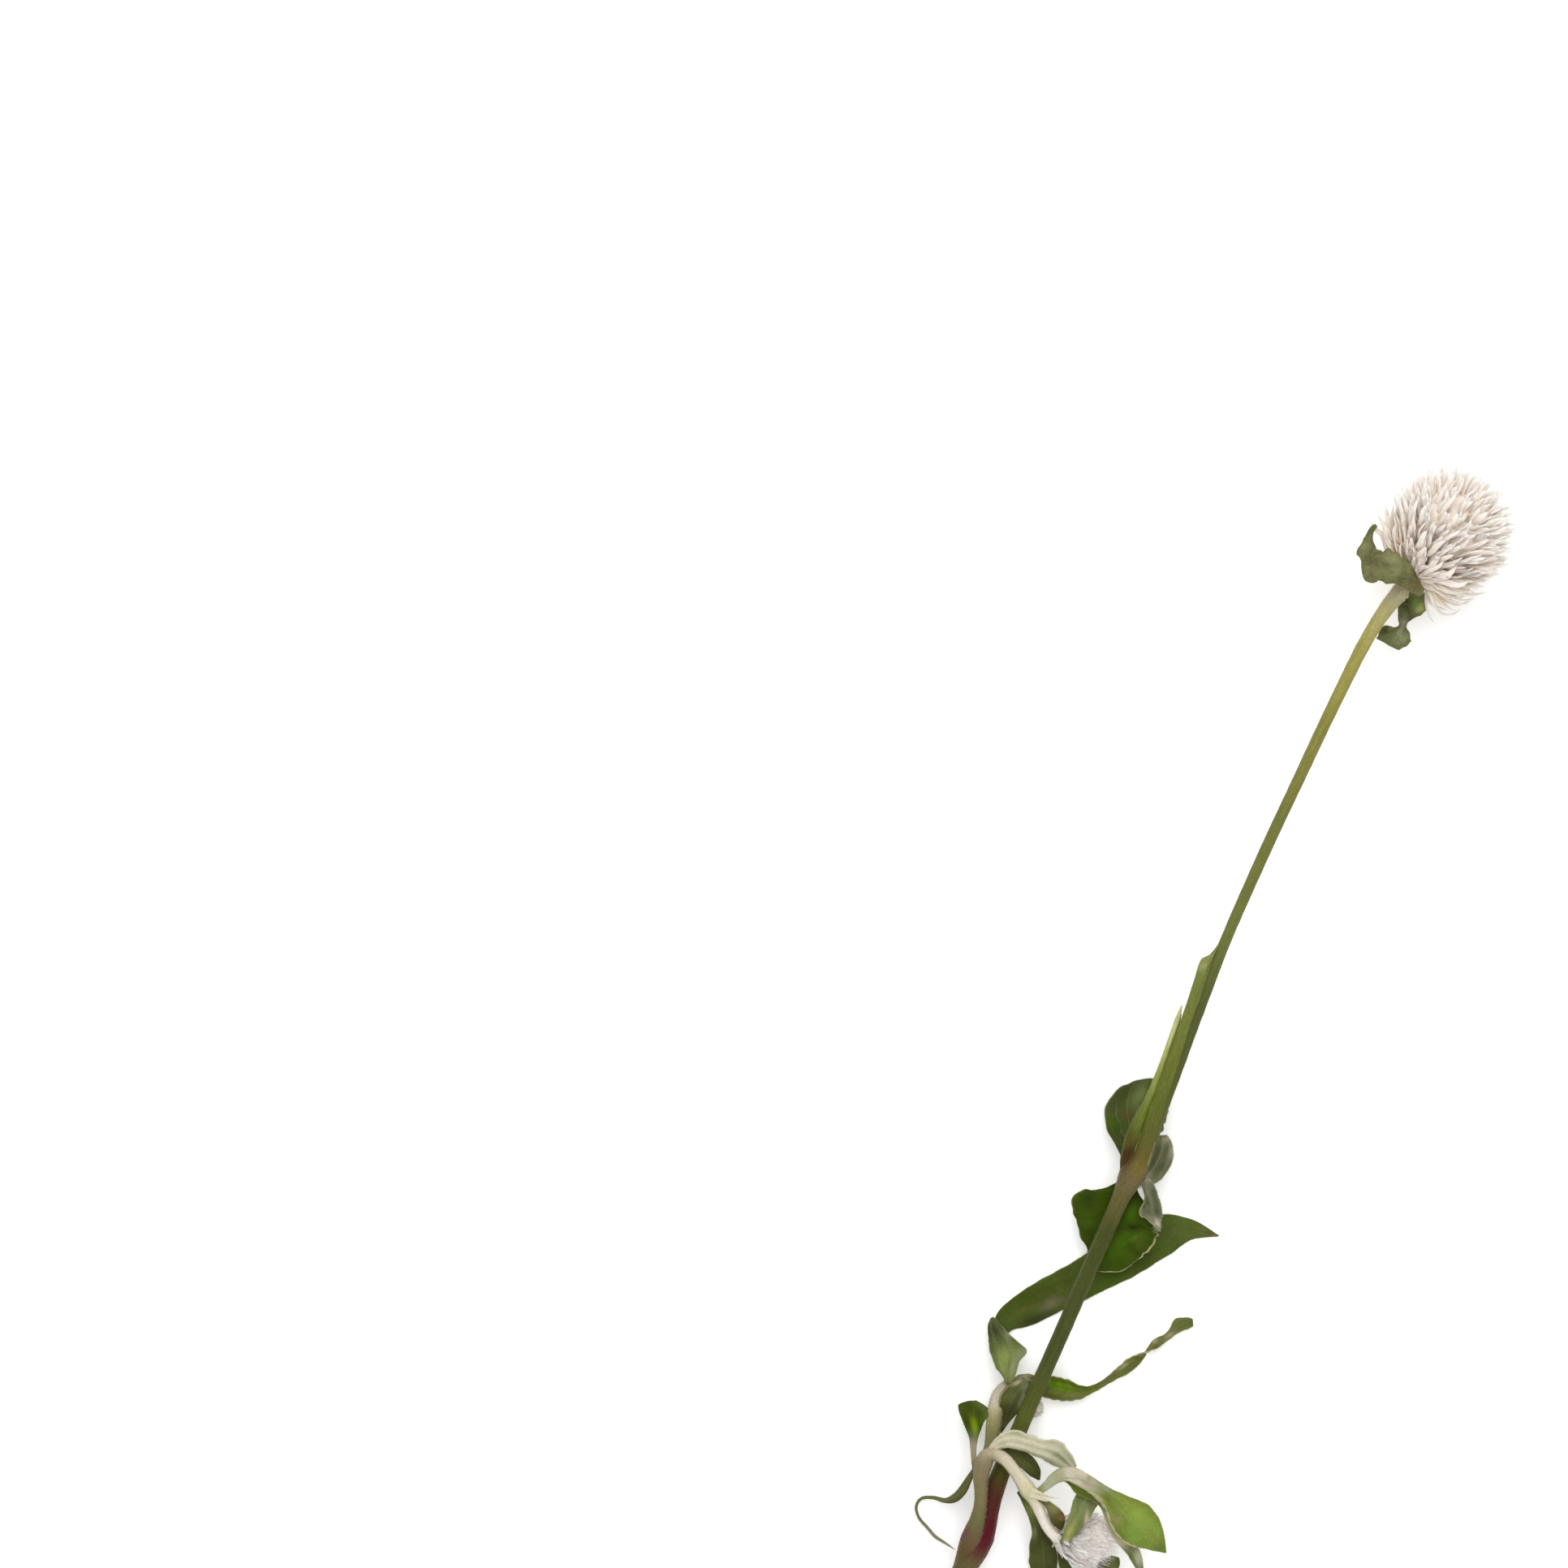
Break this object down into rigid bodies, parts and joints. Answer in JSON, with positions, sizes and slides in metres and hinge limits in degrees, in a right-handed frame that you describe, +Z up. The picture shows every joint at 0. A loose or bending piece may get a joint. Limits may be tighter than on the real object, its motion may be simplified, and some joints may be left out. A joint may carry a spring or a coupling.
{
  "type": "globe amaranth stem",
  "caption": "Cut stem of white globe amaranth lying on its side, with a round papery flower head, a small drooping side head, hairy leaves and torn side shoots.",
  "frame": {"origin": "bottom centre of the bounding box, on the level surface that the stem lies on", "axes": "+Y along the stem from its cut end to the flower head, +Z up from the surface"},
  "size_m": [0.0581, 0.3436, 0.0298],
  "materials": {
    "stem": "matte",
    "stalk": "matte",
    "leaf_green": "matte",
    "leaf_dark": "matte",
    "leaf_grey": "matte",
    "dry_leaf": "matte",
    "bract_white": "matte",
    "bud_wool": "matte"
  },
  "bodies": {
    "root": {"main_stem": "stem", "head_main": "bract_white", "head_bract_left": "leaf_grey", "head_bract_right": "leaf_dark", "upper_leaf_back": "leaf_green", "upper_leaf_ear": "leaf_grey", "upper_leaf_front": "leaf_green", "upper_leaf_flap": "leaf_grey", "stalk_a": "stalk", "stalk_b": "stalk", "curled_leaf": "dry_leaf", "head_a": "bract_white", "bud_b": "bud_wool", "long_leaf": "leaf_green", "shoot_b_leaf_left": "leaf_grey", "shoot_b_leaf_right": "leaf_green", "shoot_b_leaf_folded": "leaf_dark", "shoot_a_leaf_arch": "leaf_grey", "shoot_a_leaf_under": "leaf_dark", "shoot_a_leaf_outer": "leaf_green", "shoot_a_leaf_strip": "leaf_grey", "shoot_a_leaf_hanging": "leaf_dark", "shoot_a_leaf_small": "leaf_dark", "shoot_a_leaf_left": "leaf_green", "head_a_bract_upper": "leaf_grey", "head_a_bract_lower": "leaf_dark"}
  },
  "joints": []
}
